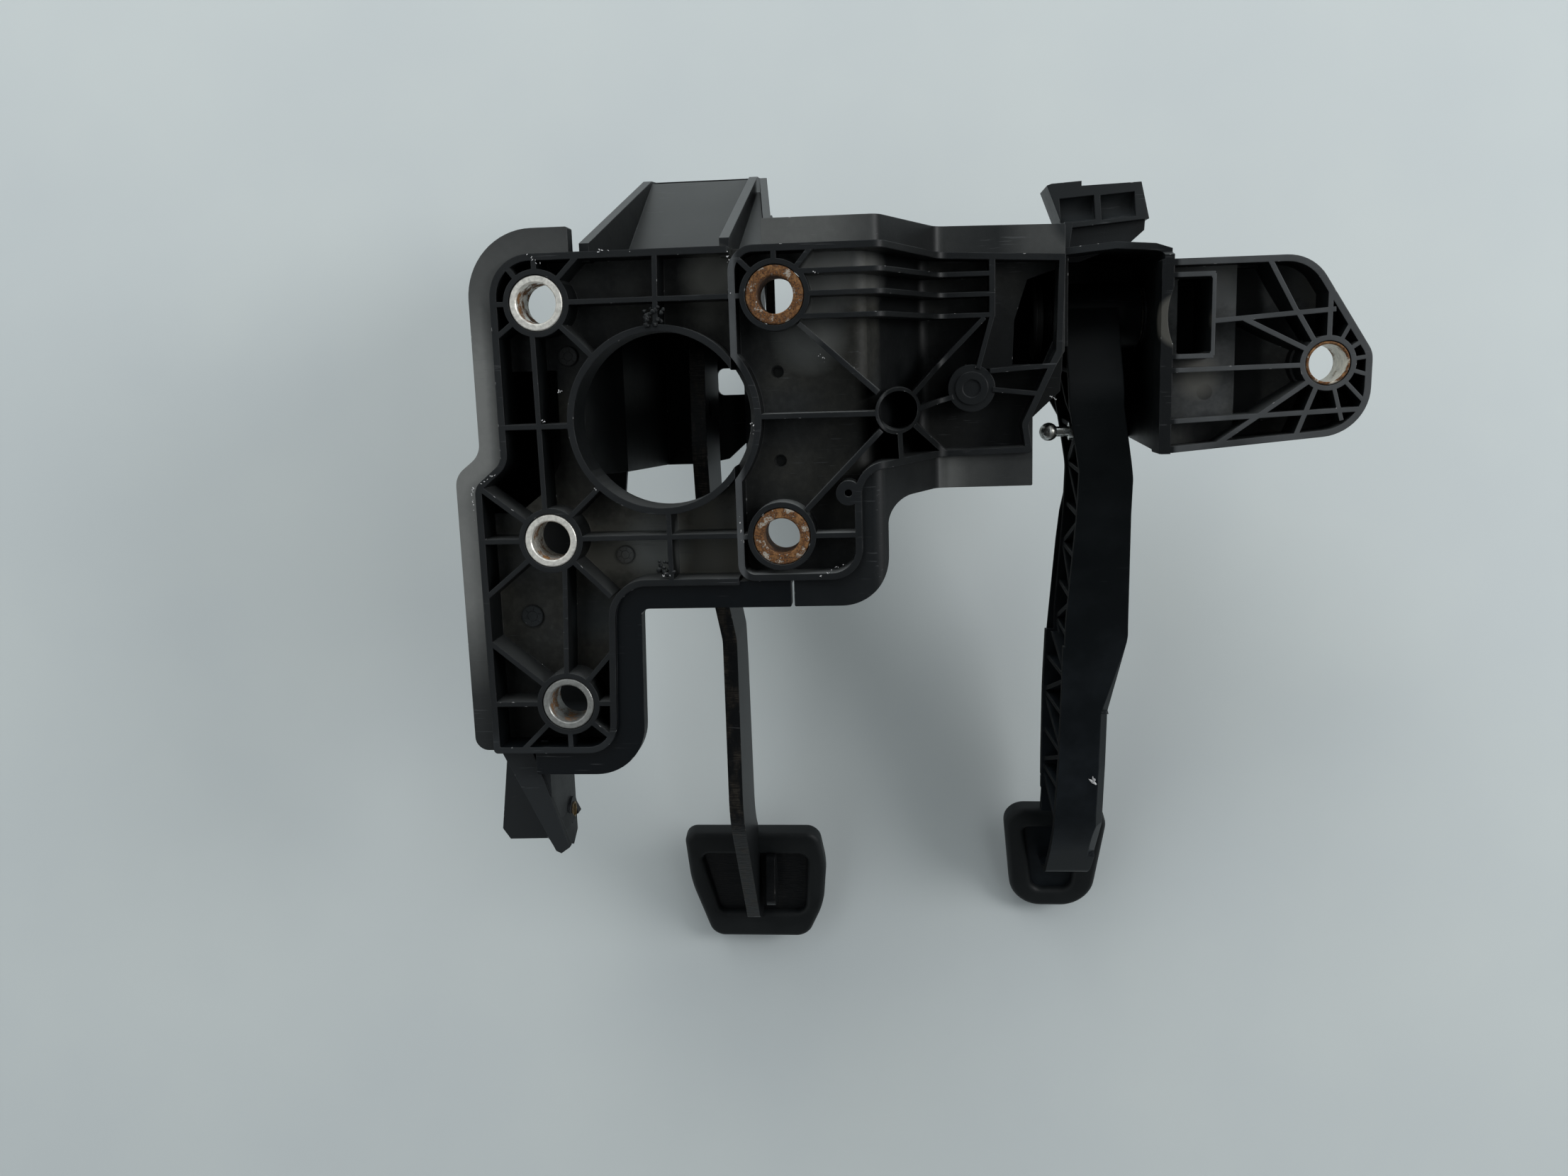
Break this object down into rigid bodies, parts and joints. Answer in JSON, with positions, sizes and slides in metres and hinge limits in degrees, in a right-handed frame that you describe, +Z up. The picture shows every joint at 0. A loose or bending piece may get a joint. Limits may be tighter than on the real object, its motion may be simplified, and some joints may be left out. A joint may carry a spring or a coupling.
{
  "type": "pedal box with brake and clutch pedals",
  "caption": "Ribbed nylon pedal box for a car's bulkhead, stepped back beside the servo opening, with a hanging steel brake pedal and a hanging moulded clutch pedal.",
  "frame": {"origin": "centre of the round servo opening, in the plane that meets the bulkhead", "axes": "+X towards the clutch pedal, which is the driver's left; +Y from the bulkhead towards the driver; +Z up"},
  "size_m": [0.3391, 0.1546, 0.3549],
  "materials": {
    "bracket_nylon": "satin, dusty",
    "clutch_nylon": "satin",
    "sleeve_zinc": "zinc plated, with rust spots",
    "sleeve_rusty": "rusty, rough",
    "insert_metal": "tarnished",
    "arm_paint": "black coat, worn edges",
    "pad_rubber": "matt",
    "bush_plastic": "plain",
    "bolt_steel": "dark phosphate",
    "ball_steel": "bright"
  },
  "bodies": {
    "box": {"brake_bracket": "bracket_nylon", "clutch_bracket": "bracket_nylon", "sleeve_upper_left": "sleeve_zinc", "sleeve_middle_left": "sleeve_zinc", "sleeve_lower_left": "sleeve_zinc", "sleeve_upper_centre": "sleeve_rusty", "sleeve_lower_centre": "sleeve_rusty", "sleeve_side": "sleeve_zinc", "foot_insert": "insert_metal", "brake_pivot_bolt": "bolt_steel", "brake_pivot_nut": "bolt_steel", "brake_rest_bumper": "pad_rubber", "clutch_pivot_pin": "bolt_steel", "clutch_pin_clip": "bolt_steel", "clutch_rest_bumper": "pad_rubber"},
    "brake_pedal": {"brake_arm": "arm_paint", "brake_hub_tube": "arm_paint", "brake_bush_left": "bush_plastic", "brake_bush_right": "bush_plastic", "brake_pad_plate": "arm_paint", "brake_pad_rubber": "pad_rubber"},
    "clutch_pedal": {"clutch_arm": "clutch_nylon", "clutch_bush_left": "bush_plastic", "clutch_bush_right": "bush_plastic", "clutch_pad_rubber": "pad_rubber", "clutch_ball_stud": "ball_steel"}
  },
  "joints": [
    {"name": "brake_swing", "type": "hinge", "parent": "box", "child": "brake_pedal", "pos_m": [0.00265, 0.098, 0.069], "axis": [-1, 0, 0], "range_deg": [0, 15]},
    {"name": "clutch_swing", "type": "hinge", "parent": "box", "child": "clutch_pedal", "pos_m": [0.16625, 0.088, 0.034], "axis": [-1, 0, 0], "range_deg": [0, 28], "stiffness_Nm_per_rad": 0.5, "springref_deg": -28.65}
  ]
}
